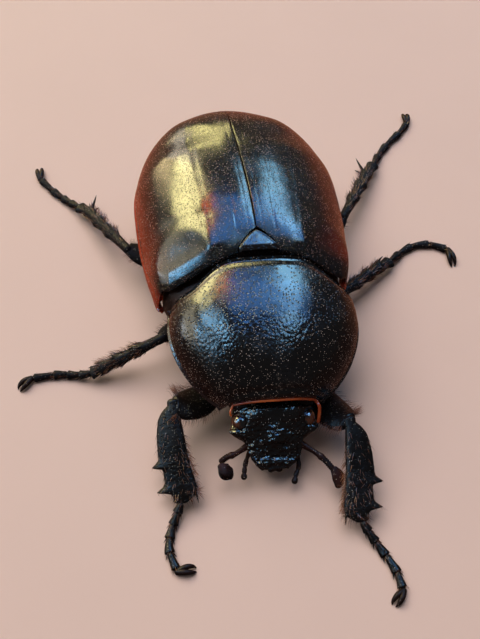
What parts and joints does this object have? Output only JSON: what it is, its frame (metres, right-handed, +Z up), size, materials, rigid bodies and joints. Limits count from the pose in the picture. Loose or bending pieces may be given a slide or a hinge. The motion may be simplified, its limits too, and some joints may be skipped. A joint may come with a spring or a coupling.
{
  "type": "rhinoceros beetle",
  "caption": "Life-size still model of a hornless rhinoceros beetle standing on its feet: domed black-brown wing cases, rounded pronotum, toothed digging front legs.",
  "frame": {"origin": "on the floor, under the middle of the beetle's box, feet included", "axes": "+Z up from the floor, -Y the way the head points, +X to the beetle's own left side"},
  "size_m": [0.053, 0.0648, 0.0153],
  "materials": {
    "wing_case": "glossy black-brown shell, red-brown towards its sides",
    "prothorax": "glossy black shell with a coarse grain",
    "underside": "satin dark brown plates",
    "head": "rough glossy black shell",
    "mouth": "dark brown with rusty bristles",
    "eye": "dark amber, faceted, wet sheen",
    "antenna": "glossy dark red-brown",
    "leg": "pitted glossy black with rusty bristles",
    "claw": "smooth glossy black-brown"
  },
  "bodies": {
    "root": {"abdomen": "underside", "antenna_club_left": "antenna", "antenna_club_right": "antenna", "antenna_stalk_left": "antenna", "antenna_stalk_right": "antenna", "claws_front_left": "claw", "claws_front_right": "claw", "claws_hind_left": "claw", "claws_hind_right": "claw", "claws_middle_left": "claw", "claws_middle_right": "claw", "coxa_front_left": "leg", "coxa_front_right": "leg", "coxa_hind_left": "leg", "coxa_hind_right": "leg", "coxa_middle_left": "leg", "coxa_middle_right": "leg", "elytron_left": "wing_case", "elytron_right": "wing_case", "eye_left": "eye", "eye_right": "eye", "femur_front_left": "leg", "femur_front_right": "leg", "femur_hind_left": "leg", "femur_hind_right": "leg", "femur_middle_left": "leg", "femur_middle_right": "leg", "head": "head", "labium": "mouth", "mandible_left": "mouth", "mandible_right": "mouth", "palp_left": "mouth", "palp_right": "mouth", "pronotum": "prothorax", "prosternum": "prothorax", "pygidium": "underside", "scutellum": "wing_case", "tarsus_front_left": "leg", "tarsus_front_right": "leg", "tarsus_hind_left": "leg", "tarsus_hind_right": "leg", "tarsus_middle_left": "leg", "tarsus_middle_right": "leg", "thorax": "underside", "tibia_front_left": "leg", "tibia_front_right": "leg", "tibia_hind_left": "leg", "tibia_hind_right": "leg", "tibia_middle_left": "leg", "tibia_middle_right": "leg"}
  },
  "joints": []
}
